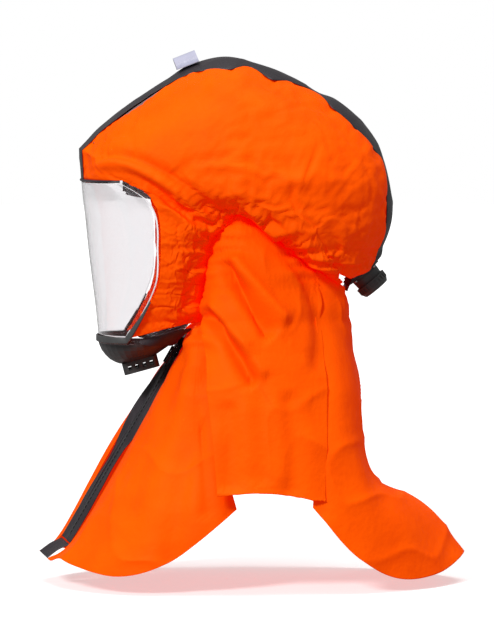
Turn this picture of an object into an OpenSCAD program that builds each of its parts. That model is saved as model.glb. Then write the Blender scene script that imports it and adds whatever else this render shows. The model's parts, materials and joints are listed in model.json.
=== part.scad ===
// Powered-air respirator hood: gathered fabric hood with a shoulder cape, a bent visor,
// a moulded chin guard with an exhalation valve, a crown air duct fed by a swivelling
// hose inlet, a ratchet head harness and a front zip. Millimetres.
// Origin: centre of the headband. +X is the wearer's left, -Y is the way the face looks, +Z is up.

/* [Fabric] */
// Thickness of the fabric panels
fabric_t = 1.8; // [1.2:0.1:2.4]
// Half width of the black crown duct strip
duct_half_w = 40; // [34:1:44]
// Height of the air duct over the crown
duct_h = 11; // [9:1:13]
// Gap left between sewn panels
seam_gap = 1.2; // [1:0.1:2]

/* [Visor] */
// Thickness of the bent visor lens
lens_t = 1; // [0.8:0.1:1.2]

/* [Chin guard] */
// Wall of the moulded chin guard
guard_t = 2.4; // [2:0.2:3]
// Radius of the exhalation valve's port
port_r = 12.5; // [11:0.5:13]
// Lift of the valve flap
flap_lift = 2.5; // [1.5:0.5:2.5]

/* [Hose inlet] */
// Bore radius of the hose spigot
inlet_bore_r = 11.5; // [10:0.5:12]
// Radius of the inlet's clamping flange
flange_r = 20.5; // [20:0.5:22]
// Radius of the spigot's locking collar
collar_r = 18; // [17:0.5:18.5]
// Tilt of the inlet axis below the horizontal, towards the floor
inlet_tilt = 50; // [48:1:52]

/* [Harness] */
// Radius of the headband's round ends
band_r = 80; // [78:1:82]
// Half length of the headband's straight sides
band_straight = 18; // [16:1:20]
// Height of the headband
band_h = 20; // [18:1:22]
// How far the back of the headband dips, in degrees
band_tilt = 8; // [6:1:10]
// Teeth on the ratchet pinion
pinion_teeth = 8; // [8:1:8]
// Pitch radius of the ratchet pinion
pinion_r = 5; // [5:0.5:5]

/* [Zip] */
// Width of one zip tape
tape_w = 5.5; // [4.5:0.5:5.5]
// Half width of the black strip: zip tapes and the coated facings beside them
strip_half_w = 15; // [13:0.5:16]
// Turn of the zip's face towards the wearer's left
zip_turn = 18; // [12:1:20]

/* [Hidden] */
$fn = 64;
e = 0.01;

orange = "orangered";
black = [0.09, 0.09, 0.1];
plastic = [0.14, 0.14, 0.15];
grey = [0.45, 0.46, 0.48];

// ---------------------------------------------------------------- curves and sheets

// Catmull-Rom curve through the points p, at t from 0 to len(p) - 1
function spline(p, t) =
    let (n = len(p) - 1, i = max(0, min(floor(t), n - 1)), f = t - i,
         a = p[max(i - 1, 0)], b = p[i], c = p[i + 1], d = p[min(i + 2, n)])
    0.5 * (2 * b + (c - a) * f + (2 * a - 5 * b + 4 * c - d) * f * f
           + (3 * b - a - 3 * c + d) * f * f * f);

function unit(v) = v / max(norm(v), 1e-9);
function mix(a, b, f) = a + (b - a) * f;

// Normal of a grid of points at row i, column j: along the columns, then down the rows
function grid_normal(g, i, j) =
    let (m = len(g) - 1, n = len(g[0]) - 1)
    unit(cross(g[i][min(j + 1, n)] - g[i][max(j - 1, 0)],
               g[min(i + 1, m)][j] - g[max(i - 1, 0)][j]));

// The grid moved along its own normals
function shifted(g, d) =
    [for (i = [0:len(g) - 1]) [for (j = [0:len(g[0]) - 1]) g[i][j] + d * grid_normal(g, i, j)]];

function flat(lists) = [for (l = lists) for (v = l) v];

// Closed solid between two grids of points of the same size
module between(outer, inner) {
    m = len(outer) - 1;
    n = len(outer[0]) - 1;
    w = n + 1;
    k = (m + 1) * w;
    function quad(a, b, c, d) = [[a, b, c], [a, c, d]];
    polyhedron(concat(flat(outer), flat(inner)), concat(
        flat([for (i = [0:m - 1], j = [0:n - 1])
            quad(i * w + j, (i + 1) * w + j, (i + 1) * w + j + 1, i * w + j + 1)]),
        flat([for (i = [0:m - 1], j = [0:n - 1])
            quad(k + i * w + j, k + i * w + j + 1, k + (i + 1) * w + j + 1, k + (i + 1) * w + j)]),
        flat([for (j = [0:n - 1]) quad(j, j + 1, k + j + 1, k + j)]),
        flat([for (j = [0:n - 1])
            quad(m * w + j + 1, m * w + j, k + m * w + j, k + m * w + j + 1)]),
        flat([for (i = [0:m - 1]) quad((i + 1) * w, i * w, k + i * w, k + (i + 1) * w)]),
        flat([for (i = [0:m - 1])
            quad(i * w + n, (i + 1) * w + n, k + (i + 1) * w + n, k + i * w + n)])
    ), convexity = 8);
}

// A sheet of thickness t whose outer face is the grid
module sheet(g, t) { between(g, shifted(g, -t)); }

function upside_down(g) = [for (i = [len(g) - 1:-1:0]) g[i]];

// A patch through stations of points: columns follow the stations, rows run down each one
function patch(stations, cols, rows) =
    let (n = len(stations) - 1, m = len(stations[0]) - 1)
    [for (i = [0:rows]) [for (j = [0:cols])
        spline([for (s = stations) spline(s, m * i / rows)], n * j / cols)]];

function mirrored(stations) = [for (s = stations) [for (p = s) [-p.x, p.y, p.z]]];

// A round cord swept along a closed loop of points
module closed_cord(points, r, sides = 8) {
    n = len(points);
    function tangent(i) = unit(points[(i + 1) % n] - points[(i + n - 1) % n]);
    function side(i) = unit(cross(tangent(i), [0, 0.2, 1]));
    function ring(i) =
        let (a = side(i), b = cross(tangent(i), a))
        [for (k = [0:sides - 1]) points[i] + r * (cos(360 * k / sides) * a + sin(360 * k / sides) * b)];
    polyhedron(flat([for (i = [0:n - 1]) ring(i)]), flat([for (i = [0:n - 1], k = [0:sides - 1])
        let (a = i * sides + k, b = i * sides + (k + 1) % sides,
             c = ((i + 1) % n) * sides + k, d = ((i + 1) % n) * sides + (k + 1) % sides)
        [[a, d, c], [a, b, d]]]), convexity = 8);
}

// ---------------------------------------------------------------- hood outline

// Stations over the dome from the brow to the nape. Each one holds the crown point [y, z],
// the half width, the widest level [y, z] and the lower seam [x, y, z].
dome = [
    [-146, 18,  98, -104, 18, 101,  -95,  14],
    [-148, 50, 103,  -98, 25, 104,  -80,   8],
    [-121, 76, 112,  -75, 24, 105,  -58,   1],
    [ -85, 103, 119, -45, 20, 101,  -32,  -5],
    [ -40, 131, 123, -15, 15,  95,   -6, -11],
    [   9, 144, 125,  15, 10,  88,   19, -16],
    [  60, 131, 125,  45,  2,  86,   38, -27],
    [ 110, 108, 123,  70, -8,  82,   62, -44],
    [ 150, 80, 119,   88, -20, 77,   79, -57],
    [ 176, 43, 113,  100, -32, 70,   93, -68],
    [ 185, -5, 104,  108, -45, 66,  106, -78],
    [ 181, -42, 92,  113, -58, 58,  117, -85],
    [ 167, -70, 78,  118, -70, 48,  127, -91],
    [ 146, -90, 60,  124, -82, 41,  135, -95]
];
dome_end = len(dome) - 1;

// Point of the dome at station t: f 0 is the crown strip's seam, 1 the lower seam
function dome_point(t, f) =
    let (d = spline(dome, t), first = asin(duct_half_w / d[2]), turn = 0.62,
         a = first + (90 - first) * min(f / turn, 1), b = 90 * max((f - turn) / (1 - turn), 0))
    f <= turn
        ? [d[2] * sin(a), mix(d[3], d[0], cos(a)), mix(d[4], d[1], cos(a))]
        : [mix(d[5], d[2], cos(b)), mix(d[3], d[6], sin(b)), mix(d[4], d[7], sin(b))];

// Point of the crown strip at station t: across runs from -1 to 1 over its width
function strip_point(t, across) =
    let (d = spline(dome, t), a = asin(across * duct_half_w / d[2]))
    [d[2] * sin(a), mix(d[3], d[0], cos(a)), mix(d[4], d[1], cos(a))];

dome_grid = [for (t = [0:0.5:dome_end]) [for (i = [0:14]) dome_point(t, mix(0.004, 1, i / 14))]];

// Way out of the hood at station t of the crown
function strip_out(t) =
    let (d = spline(dome, t)) unit([0, d[0] - d[3], d[1] - d[4]]);

// Lens edge on the wearer's left, from the brow to the chin, and the centre line in front of it
lens_edge = [
    [ 98, -106,   15], [107, -78,  -2], [112, -67, -24], [111, -66, -54],
    [103,  -67,  -88], [ 86, -80, -120], [ 66, -98, -150]
];
lens_front = [
    [0, -146, 15], [0, -144.5, -2], [0, -142, -24], [0, -139, -54],
    [0, -135, -88], [0, -131, -120], [0, -128, -150]
];

function lens_point(s, angle) =
    let (v = spline(lens_edge, s), c = spline(lens_front, s))
    [v.x * sin(angle), mix(v.y, c.y, cos(angle)), mix(v.z, c.z, cos(angle))];

// Gathered neck seam on the left, from the ear forward and down to the chin
neck_front = [
    [88, 19, -16], [84, -5, -43], [80, -13, -70], [74, -18, -103], [66, -21, -133]
];
// The same seam from the ear back to the nape
neck_back = [for (t = [5:dome_end]) let (d = dome[t]) [d[5], d[6], d[7]]];

// ---------------------------------------------------------------- hood fabric

module dome_panel() { color(orange) sheet(dome_grid, fabric_t); }

// Strip of cloth between the visor and the gathered seam
module cheek_panel() {
    top_drop = [0, 0, -fabric_t - seam_gap];
    edge = [for (s = [0:0.5:6]) spline(lens_edge, s) + [0.5, seam_gap + 1, 0]];
    seam = [for (s = [0:12])
        spline(neck_front, s / 3) + top_drop * max(0, 1 - s / 6) - [0, seam_gap + 1, 0]];
    bulge = [8, 0, 0];
    grid = [for (i = [0:12]) [for (f = [0:0.125:1])
        let (drop = i == 0 ? top_drop : [0, 0, 0])
        mix(edge[i], seam[i], f) + sin(180 * f) * bulge + drop * sin(180 * f)]];
    color(orange) sheet(upside_down(grid), fabric_t);
}

// Black strip from the brow to the nape, arched over the air duct
cover_arch = 4;

module crown_duct_cover() {
    grid = [for (t = [0.1:0.5:dome_end]) [for (a = [-1:0.25:1])
        strip_point(t, a * 0.985) + cover_arch * (1 - a * a) * strip_out(t)]];
    color(black) difference() {
        sheet(grid, fabric_t);
        on_inlet() cylinder(r = grommet_r + 0.4, h = 30, center = true);
    }
}

// Open 3-D mesh that keeps the duct from closing under a helmet or a strap
module duct_spacer() {
    g = [for (t = [1.4:0.5:9.4]) [for (a = [-0.78:0.26:0.78]) strip_point(t, a)]];
    color(grey) between(shifted(g, -1.6), shifted(g, -duct_h + 1.4));
}

// Floor of the duct, turned up at both sides to the crown seams: [across, share of the depth]
liner_profile = [
    [-0.97, 0.24], [-0.92, 0.7], [-0.85, 1], [-0.5, 1], [0, 1], [0.5, 1], [0.85, 1], [0.92, 0.7],
    [0.97, 0.24]
];

module duct_liner() {
    g = [for (t = [1.4:0.5:11.4]) [for (p = liner_profile)
        strip_point(t, p[0]) - p[1] * duct_h * strip_out(t)]];
    color(black) sheet(g, 1.2);
}

// Black welt that stiffens the brow above the lens
module brow_binding() {
    points = [for (a = [-84:7:84]) lens_point(0, a) + [0, -0.4, 0.3]];
    grid = [for (h = [0, 1.5]) [for (p = points) p + [0, 0, 2.6 - 1.5 * h]]];
    color(black) sheet(upside_down(grid), 1.2);
}

// Reflective ribbon keeper sewn across the crown strip, standing up in a low arch
loop_r = 13;

module crown_loop() {
    t = 4.2;
    foot = strip_point(t, 0) + (cover_arch + 0.5) * strip_out(t);
    ahead = strip_point(t + 0.2, 0) - strip_point(t - 0.2, 0);
    color(grey) translate(foot) rotate([atan2(ahead.z, ahead.y), 0, 0]) rotate([90, 0, 0])
        linear_extrude(25, center = true) difference() {
            union() {
                circle(r = loop_r);
                translate([-loop_r - 7, 0]) square([2 * loop_r + 14, 1]);
            }
            circle(r = loop_r - 1.1);
            translate([-loop_r - 2, -30]) square([2 * loop_r + 4, 30]);
        }
}

// Elastic cord inside the gathered neck seam, closed behind the top of the zip
module neck_elastic() {
    inset = 5.5;
    side = concat([for (i = [4:-1:0]) neck_front[i]], [for (i = [1:8]) neck_back[i]]);
    function inward(p) = [p.x - inset * sign(p.x), p.y, p.z - 3.5];
    right = [for (p = side) inward([-p.x, p.y, p.z])];
    left = [for (i = [len(side) - 1:-1:0]) inward(side[i])];
    loop = concat([[0, -27, -158], [-20, -26, -157], [-42, -23, -151]], right,
                  [[-18, 131, -99.5], [0, 132, -100], [18, 131, -99.5]], left,
                  [[42, -23, -151], [20, -26, -157], [0, -27, -158]]);
    color(black) closed_cord([for (t = [0:0.5:len(loop) - 1.5]) spline(loop, t)], 1.8);
}

// Cloth under the chin, from the back of the chin guard to the top of the bib
module chin_gusset() {
    function rim_point(a) =
        [(bowl[0][1] + 1) * cos(a), bowl[0][0] + (bowl[0][2] + 1.4) * sin(a), bowl[0][3] - 0.4];
    edge = [
        [62, -86, -153], [62, -66, -148], [62, -46, -143], [61, -30, -140], [42, -36, -147],
        [21, -40, -149.5], [0, -41.5, -150.5]
    ];
    line = concat(edge, [for (i = [5:-1:0]) [-edge[i].x, edge[i].y, edge[i].z]]);
    grid = [for (f = [0:0.25:1]) [for (i = [0:24])
        mix(rim_point(6 + 7 * i), spline(line, i / 2), f)]];
    color(orange) sheet(upside_down(grid), fabric_t);
}

// ---------------------------------------------------------------- cape

bib = [
    [[40, -30, -147], [58, -88, -262], [72, -138, -364], [78, -162, -402]],
    [[60, -24.5, -139.5], [96, -62, -262], [122, -92, -360], [128, -108, -412]],
    [[68, -18.5, -127], [110, -34, -246], [138, -40, -332], [144, -50, -392]],
    [[72, -16.5, -113], [116, -8, -218], [137, 2, -286], [144, 15, -338]]
];
// Fold of the right bib that stands forward of the zip
bib_fold = [[-30, -34, -149], [-32, -108.5, -260], [-34, -166, -366], [-36, -187, -389]];
shoulder = [
    [[76, -24, -118], [122, -16, -190], [142, -10, -255], [152, -5, -316]],
    [[86, -9, -58], [126, 5, -150], [146, 14, -235], [155, 25, -313]],
    [[91, 19, -22], [128, 35, -130], [148, 42, -225], [155, 50, -313]],
    [[86, 62, -50], [122, 68, -150], [142, 72, -235], [151, 76, -317]]
];
back_side = [
    [[65, 103, -82], [104, 105, -168], [130, 103, -245], [140, 100, -292], [143, 97, -332]],
    [[53, 116, -91], [96, 126, -185], [122, 130, -270], [132, 134, -330], [136, 140, -385]],
    [[39, 128, -98], [76, 142, -190], [104, 150, -285], [114, 172, -350], [112, 190, -413]],
    [[19, 135, -102], [44, 150, -190], [64, 158, -292], [74, 200, -345], [66, 238, -411]]
];
back_centre = [[0, 137, -103], [0, 153, -190], [0, 160, -300], [0, 222, -340], [0, 268, -395]];
shoulder_back = [for (i = [0:3]) spline(back_side[0], 1.27 * i) + [0.6, -seam_gap - 1, 0]];

// Half of the front of the cape, from the zip's facing to the shoulder
module bib_panel(side) {
    x = side * (strip_half_w + 1.4);
    front = [zip_point(x, facing_turn(0), 0), zip_point(x, facing_turn(0.5), 0.5 * zip_length),
             zip_point(x, facing_turn(0.97), 0.97 * zip_length), toe + x * zip_across(zip_turn)];
    left = concat([front], bib);
    right = concat([front, bib_fold], mirrored(bib));
    grid = patch(side > 0 ? left : right, 13, 12);
    color(orange) sheet(side > 0 ? upside_down(grid) : grid, fabric_t);
}
module shoulder_panel() {
    color(orange) sheet(upside_down(patch(concat(shoulder, [shoulder_back]), 10, 10)), fabric_t);
}

module cape_back_panel() {
    right = mirrored(back_side);
    stations = concat(back_side, [back_centre], [for (i = [3:-1:0]) right[i]]);
    color(orange) sheet(upside_down(patch(stations, 24, 14)), fabric_t);
}

// ---------------------------------------------------------------- zip

zip_top = [0, -33.2, -149];
zip_end = [0, -163, -372];
zip_length = norm(zip_end - zip_top);
zip_angle = atan2(zip_top.y - zip_end.y, zip_top.z - zip_end.z);   // lean of the zip from upright
toe = [0, -188, -388];
slider_start = 22;     // how far the closed slider sits below the zip's top
pull_l = 17;

// The strip's face turns by these angles, evenly spaced from the zip's top to its end
facing_turns = [6, 20, 34, 14, 20, 20];

function facing_turn(f) = spline(facing_turns, f * (len(facing_turns) - 1));
function zip_across(turn) = [cos(turn), sin(turn) * cos(zip_angle), -sin(turn) * sin(zip_angle)];

// Point at distance x to the left of the zip's line and at distance along down it
function zip_point(x, turn, along) =
    zip_top + x * zip_across(turn) - along * [0, sin(zip_angle), cos(zip_angle)];

// Places children on the zip: +X across, -Z down the zip, -Y away from the wearer
module on_zip(along = 0) {
    translate(zip_top) rotate([-zip_angle, 0, 0]) rotate([0, 0, zip_turn])
        translate([0, 0, -along]) children();
}

// Coated black facing between the zip tape and the bib
module zip_facing(side) {
    inner = side * (tape_w + 2.5);
    outer = side * strip_half_w;
    grid = [for (i = [0:16]) [for (f = [0:0.5:1])
        let (a = i * zip_length / 16)
        mix(zip_point(inner, zip_turn, a), zip_point(outer, facing_turn(i / 16), a), f)]];
    color(black) sheet(side > 0 ? upside_down(grid) : grid, fabric_t);
}

module zip_tape(side) {
    x = side > 0 ? 1.7 : -1.7 - tape_w;
    color(black) on_zip() translate([x, 0, -zip_length]) cube([tape_w, 1.2, zip_length]);
}

// Closed coil: a row of turns on a woven core
module zip_coil() {
    pitch = 5.2;
    color(plastic) on_zip() {
        translate([-1.5, -0.2, -zip_length]) cube([3, 1.4, zip_length]);
        for (z = [slider_start + 14:pitch:zip_length - 6])
            translate([-1.5, -0.9, -z]) cube([3, 0.8, 3]);
    }
}

module zip_slider() {
    color(plastic) on_zip(slider_start) difference() {
        union() {
            translate([-4.5, -3, -7]) cube([9, 2.6, 14]);
            for (x = [-3, 1.4]) translate([x, -6.2, -3]) cube([1.6, 3.4, 6]);
        }
        translate([-2.1, -1.3, -8]) cube([4.2, 2, 16]);
        translate([0, -4.6, 0]) rotate([0, 90, 0]) cylinder(r = 0.95, h = 20, center = true, $fn = 32);
    }
}

module zip_pull() {
    color(plastic) on_zip(slider_start) {
        translate([0, -4.6, 0]) rotate([0, 90, 0]) cylinder(r = 0.9, h = 6.8, center = true, $fn = 32);
        difference() {
            translate([-5, -5.4, -pull_l]) cube([10, 1.6, pull_l + 1.2]);
            translate([-3.4, -8, -3.6]) cube([6.8, 6, 6]);
            translate([-2.4, -8, -pull_l + 2]) cube([4.8, 6, 7]);
        }
    }
}

// Tab that covers the zip's lower end and carries the strip on to the toe of the hem
module zip_garage() {
    line = [zip_point(0, 0, zip_length + 2), mix(zip_end, toe, 0.5) + [0, -0.5, 1], toe];
    grid = [for (r = [0:4]) [for (x = [-1:0.5:1])
        spline(line, r / 2) + x * strip_half_w * zip_across(zip_turn)]];
    color(black) sheet(upside_down(grid), fabric_t);
}

// ---------------------------------------------------------------- visor and chin guard

module visor_lens() {
    grid = [for (s = [0:0.5:6]) [for (a = [-90:10:90]) lens_point(s, a)]];
    color([0.9, 0.93, 0.95, 0.3]) sheet(upside_down(grid), lens_t);
}

// Bumper that clips over the lens' lower edge, with two horns up the sides
module chin_rim() {
    proud = 2.6;
    up = 1.5;
    down = 5.5;
    lowered = [0, 0, -1.5];
    function out(p, f) = p + proud * f * unit([p.x, (p.y + 60) * 1.4, 0]);
    left = [for (s = [4.6:0.2:5.8]) lens_point(s, 90)];
    front = [for (a = [84:-12:-84]) lens_point(6, a)];
    right = [for (s = [5.8:-0.2:4.6]) lens_point(s, -90)];
    line = concat(left, front, right);
    last = len(line) - 1;
    function taper(i) = min(1, 0.25 + 0.125 * min(i, last - i));
    outer = [for (h = [1, -1]) [for (i = [0:last])
        out(line[i], 1) + [0, 0, (h > 0 ? up : -down) * taper(i)] + lowered]];
    inner = [for (h = [1, -1]) [for (i = [0:last])
        out(line[i], 0.15) + [0, 0, (h > 0 ? up : -down) * taper(i)] + lowered]];
    color(plastic) between(outer, inner);
}

// The bowl's rings: [centre y, half width, half length, height, rise towards the back]
bowl = [
    [-88, 64, 40, -158, 0], [-87.5, 60, 37, -164, 0.08], [-86, 50, 29.5, -171, 0.2],
    [-84.5, 36, 21.5, -175.5, 0.27]
];
floor_angle = atan(bowl[3][4]);
floor_centre = [0, bowl[3][0], bowl[3][3]];

function bowl_ring(k, inset) =
    let (b = spline(bowl, k))
    [for (a = [0:11.25:348.75])
        [(b[1] - inset) * cos(a), b[0] + (b[2] - inset) * sin(a),
         b[3] + b[4] * (b[2] - inset) * sin(a)]];

// Closed cup: outer and inner walls joined at the rim, with a flat floor
module cup() {
    n = 32;
    steps = 6;
    outer = [for (i = [0:steps]) bowl_ring(3 * i / steps, 0)];
    inner = [for (i = [0:steps]) [for (p = bowl_ring(3 * i / steps, guard_t))
        p + [0, 0, guard_t * i / steps]]];
    rings = concat([for (i = [0:steps]) inner[steps - i]], outer);
    last = len(rings) - 1;
    polyhedron(flat(rings), concat(
        [[for (k = [0:n - 1]) k]],
        [[for (k = [n - 1:-1:0]) last * n + k]],
        flat([for (i = [0:last - 1], k = [0:n - 1])
            let (a = i * n + k, b = i * n + (k + 1) % n)
            [[a, a + n, b + n], [a, b + n, b]]])
    ), convexity = 8);
}

// Places children on the sloping floor of the chin guard, +Z into the hood
module on_floor() { translate(floor_centre) rotate([floor_angle, 0, 0]) children(); }

cover_screw_x = 25.5;

module chin_guard() {
    color(plastic) difference() {
        cup();
        on_floor() translate([0, 0, -6]) cylinder(r = port_r + 2.6, h = 20);
        on_floor() for (x = [-1, 1]) translate([x * cover_screw_x, 0, -6])
            cylinder(r = 1.6, h = 20, $fn = 32);
    }
}

// Valve body that snaps into the floor: a ring with a hub on four spokes
module valve_seat() {
    color(plastic) on_floor() {
        difference() {
            union() {
                translate([0, 0, -1.2]) cylinder(r = port_r + 2.5, h = 5.2);
                translate([0, 0, 3.2]) cylinder(r = port_r + 4.5, h = 1.6);
            }
            translate([0, 0, -2]) cylinder(r = port_r, h = 8);
        }
        difference() {
            union() {
                translate([0, 0, 0.2]) cylinder(r = 3.4, h = 3);
                for (a = [0, 90]) rotate(a) translate([-port_r - 0.2, -0.8, 0.4])
                    cube([2 * port_r + 0.4, 1.6, 2.4]);
            }
            translate([0, 0, -2]) cylinder(r = 1.55, h = 8, $fn = 32);
        }
    }
}

// Soft disc that lifts off the seat when the wearer breathes out
module valve_flap() {
    color(grey) on_floor() {
        translate([0, 0, -2.1]) cylinder(r = port_r + 1.4, h = 0.8);
        translate([0, 0, -2]) cylinder(r = 1.5, h = 8.2 + flap_lift, $fn = 32);
        translate([0, 0, 6 + flap_lift]) cylinder(r = 2.6, h = 1.2);
    }
}

// Splash cover under the valve, with exhaust slots on each side
module valve_cover() {
    cover_h = 12.5;
    core = [46, 27];          // the outline before its corners are rounded outwards
    slot_z = -cover_h + 3.5;
    slot_h = 4.5;
    color(plastic) on_floor() difference() {
        translate([0, 0, -cover_h - 0.3]) linear_extrude(cover_h) offset(r = 6)
            square(core, center = true);
        translate([0, 0, -cover_h + 2]) linear_extrude(cover_h) offset(r = 4)
            square(core, center = true);
        for (x = [-20:8:20]) translate([x - 2, 10, slot_z]) cube([4, 20, slot_h]);
        for (x = [-1, 1], y = [-12:8:12])
            translate([x * 28 - 5, y - 1.8, slot_z]) cube([10, 3.6, slot_h]);
    }
    color(plastic) on_floor() for (x = [-1, 1])
        translate([x * cover_screw_x, 0, -cover_h + 1.5]) difference() {
            cylinder(r = 3, h = cover_h - 1.8);
            translate([0, 0, 2]) cylinder(r = 1.3, h = cover_h, $fn = 32);
        }
}

module chin_screws() {
    color(grey) on_floor() for (x = [-1, 1]) translate([x * cover_screw_x, 0, 0]) {
        translate([0, 0, -8.6]) cylinder(r = 1.25, h = 11.2, $fn = 32);
        translate([0, 0, guard_t + 0.15]) difference() {
            cylinder(r = 2.6, h = 1.7);
            translate([0, 0, 0.9]) cylinder(r = 1.2, h = 2, $fn = 6);
        }
    }
}

// Row of outlets that washes air down the inside of the lens
module air_diffuser() {
    slots = 7;
    pitch = 10;
    corner = [-38, -139, 26];
    wall = 1.5;
    color(plastic) difference() {
        translate(corner) cube([76, 9, 9]);
        translate(corner + wall * [1, 1, 1]) cube([73, 6, 9]);
        for (i = [0:slots - 1])
            translate(corner + [4 + i * pitch, 2.4, -1]) cube([7, 4.2, 5]);
    }
}

// Bracket that stands the visor off the headband
module brow_bracket() {
    color(plastic) tilted() {
        translate([-14, -band_straight - band_r - 7.1, 4.5]) cube([28, 3, 14]);
        for (x = [-14, 11]) translate([x, -band_straight - band_r - 35, 14.5]) cube([3, 29, 4]);
        translate([-14, -band_straight - band_r - 35, 14.5]) cube([28, 3, 4]);
    }
}

// ---------------------------------------------------------------- hose inlet

inlet_centre = [0, 157, -82.5];
grommet_r = 23.5;

// Places children on the inlet: +Z out of the hood along the hose
module on_inlet() {
    translate(inlet_centre) rotate([270 - inlet_tilt, 0, 0]) children();
}

module ring(r_out, r_in, z0, z1) {
    translate([0, 0, z0]) difference() {
        cylinder(r = r_out, h = z1 - z0);
        translate([0, 0, -1]) cylinder(r = r_in, h = z1 - z0 + 2);
    }
}

flange_bore_r = inlet_bore_r + 2.35;
inlet_screw_r = 18;

module inlet_holes(r) {
    for (a = [45:90:315]) rotate(a) translate([inlet_screw_r, 0, -14])
        cylinder(r = r, h = 28, $fn = 32);
}

// Moulded grommet bonded into the crown strip, a flat seat for the flange
module inlet_grommet() {
    color(black) on_inlet() difference() {
        ring(grommet_r, flange_bore_r + 1, -4, 0);
        inlet_holes(1.7);
    }
}

module inlet_flange() {
    color(plastic) on_inlet() difference() {
        union() {
            ring(flange_r, flange_bore_r, 0.1, 2.6);
            ring(flange_bore_r + 1.9, flange_bore_r, 0.1, 4.6);
        }
        inlet_holes(1.55);
    }
}

module inlet_backing_ring() {
    color(plastic) on_inlet() difference() {
        ring(flange_r, flange_bore_r + 0.4, -6.4, -4.1);
        inlet_holes(1.3);
    }
}

module inlet_screws() {
    color(grey) on_inlet() for (a = [45:90:315]) rotate(a) translate([inlet_screw_r, 0, 0]) {
        translate([0, 0, -6.8]) cylinder(r = 1.25, h = 9.6, $fn = 32);
        translate([0, 0, 2.7]) difference() {
            cylinder(r = 2, h = 1.3, $fn = 32);
            translate([-1.6, -0.3, 0.6]) cube([3.2, 0.6, 1]);
        }
    }
}

// Swivelling spigot: barrel, knurled locking collar and tapered nose
module inlet_spigot() {
    barrel_r = inlet_bore_r + 3.6;
    sleeve_r = flange_bore_r - 0.05;
    ribs = 24;
    color(plastic) on_inlet() difference() {
        union() {
            translate([0, 0, -11]) cylinder(r = sleeve_r, h = 17);
            translate([0, 0, 4.9]) cylinder(r1 = barrel_r + 0.6, r2 = barrel_r, h = 8.1);
            translate([0, 0, 12.9]) cylinder(r = collar_r, h = 1.6);
            translate([0, 0, 14.4]) cylinder(r = collar_r - 1, h = 6);
            for (i = [0:ribs - 1]) rotate(i * 360 / ribs)
                translate([collar_r - 1.6, -0.8, 14.4]) cube([1.3, 1.6, 5.4]);
            translate([0, 0, 20.3]) cylinder(r1 = collar_r - 1, r2 = inlet_bore_r + 3, h = 4.2);
        }
        translate([0, 0, -12]) cylinder(r = inlet_bore_r, h = 40);
        translate([0, 0, -8.6]) ring(20, sleeve_r - 1, 0, 1.5);
        translate([0, 0, 0.8]) ring(20, sleeve_r - 1.2, 0, 2);
    }
}

module inlet_o_ring() {
    color(black) on_inlet() translate([0, 0, 1.8])
        rotate_extrude() translate([flange_bore_r - 0.72, 0]) circle(r = 0.5, $fn = 24);
}

// Snap ring that holds the spigot in the flange
module inlet_retainer() {
    sleeve_r = flange_bore_r - 0.05;
    color(grey) on_inlet() difference() {
        ring(sleeve_r + 2, sleeve_r - 0.95, -8.5, -7.2);
        translate([0, -2, -10]) cube([30, 4, 5]);
    }
}

// ---------------------------------------------------------------- head harness

band_t = 1.8;
tail_t = 1.4;
tail_in_r = band_r + band_t + 0.3;          // left tail, next to the headband
tail_out_r = tail_in_r + tail_t + 0.3;      // right tail, outside the left one
pinion_y = band_straight + tail_in_r;

// Places children in the headband's own plane
module tilted() { rotate([-band_tilt, 0, 0]) children(); }

// Part of a band round the back of the head, from one angle to the other, 0 on the left side
module rear_arc(r, t, h, from, to) {
    translate([0, band_straight, 0]) rotate(from)
        rotate_extrude(angle = to - from, $fn = 128) translate([r, -h / 2]) square([t, h]);
}

module front_arc(r, t, h, half) {
    translate([0, -band_straight, 0]) rotate(-90 - half)
        rotate_extrude(angle = 2 * half, $fn = 128) translate([r, -h / 2]) square([t, h]);
}

// Outline of the band: two round ends on straight sides
module stadium(r) {
    square([2 * r, 2 * band_straight], center = true);
    for (y = [-1, 1]) translate([0, y * band_straight]) circle(r = r);
}

// Open at the back between 36 degrees past each side
module headband() {
    gap_angle = 36;
    reach = 2 * band_r;
    color(black) tilted() linear_extrude(band_h, center = true) difference() {
        stadium(band_r + band_t);
        stadium(band_r);
        translate([0, band_straight]) polygon([
            [0, 0], reach * [cos(gap_angle), sin(gap_angle)], [0, 2 * reach],
            reach * [-cos(gap_angle), sin(gap_angle)]
        ]);
    }
}

module sweatband() {
    color(grey) tilted() front_arc(band_r - 3.1, 3, band_h + 6, 62);
}

strap_w = 20;
strap_t = 1.4;

// Flexible strap bent over the head: an arc on two straight legs
module bent_strap(r, centre_z, foot_z) {
    rotate([90, 0, 0]) translate([0, 0, -strap_w / 2]) {
        translate([0, centre_z, 0]) rotate_extrude(angle = 180, $fn = 128)
            translate([r, 0]) square([strap_t, strap_w]);
        for (x = [r, -r - strap_t]) translate([x, foot_z, 0])
            cube([strap_t, centre_z - foot_z, strap_w]);
    }
}

cross_r = band_r + band_t + 0.3;
cross_centre = 30;
long_r = band_r + band_straight + band_t + 0.3;
long_centre = 9;

module crown_strap_cross() {
    color(black) tilted() difference() {
        bent_strap(cross_r, cross_centre, -band_h / 2);
        strap_holes();
    }
}

// Front-to-back strap: its back end stops on the ratchet housing
module crown_strap_long() {
    color(black) tilted() difference() {
        rotate(90) bent_strap(long_r, long_centre, -band_h / 2);
        translate([-15, 90, -30]) cube([30, 30, 44.5]);
        strap_holes();
    }
}

rivet_r = 2;

// Holes for the rivets at the two sides and the front of the headband
module strap_holes() {
    for (x = [-1, 1]) translate([x * (cross_r + strap_t / 2), 0, 0]) rotate([0, 90, 0])
        cylinder(r = rivet_r + 0.1, h = 6, center = true, $fn = 32);
    translate([0, -long_r - strap_t / 2, 0]) rotate([90, 0, 0])
        cylinder(r = rivet_r + 0.1, h = 6, center = true, $fn = 32);
}

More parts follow.
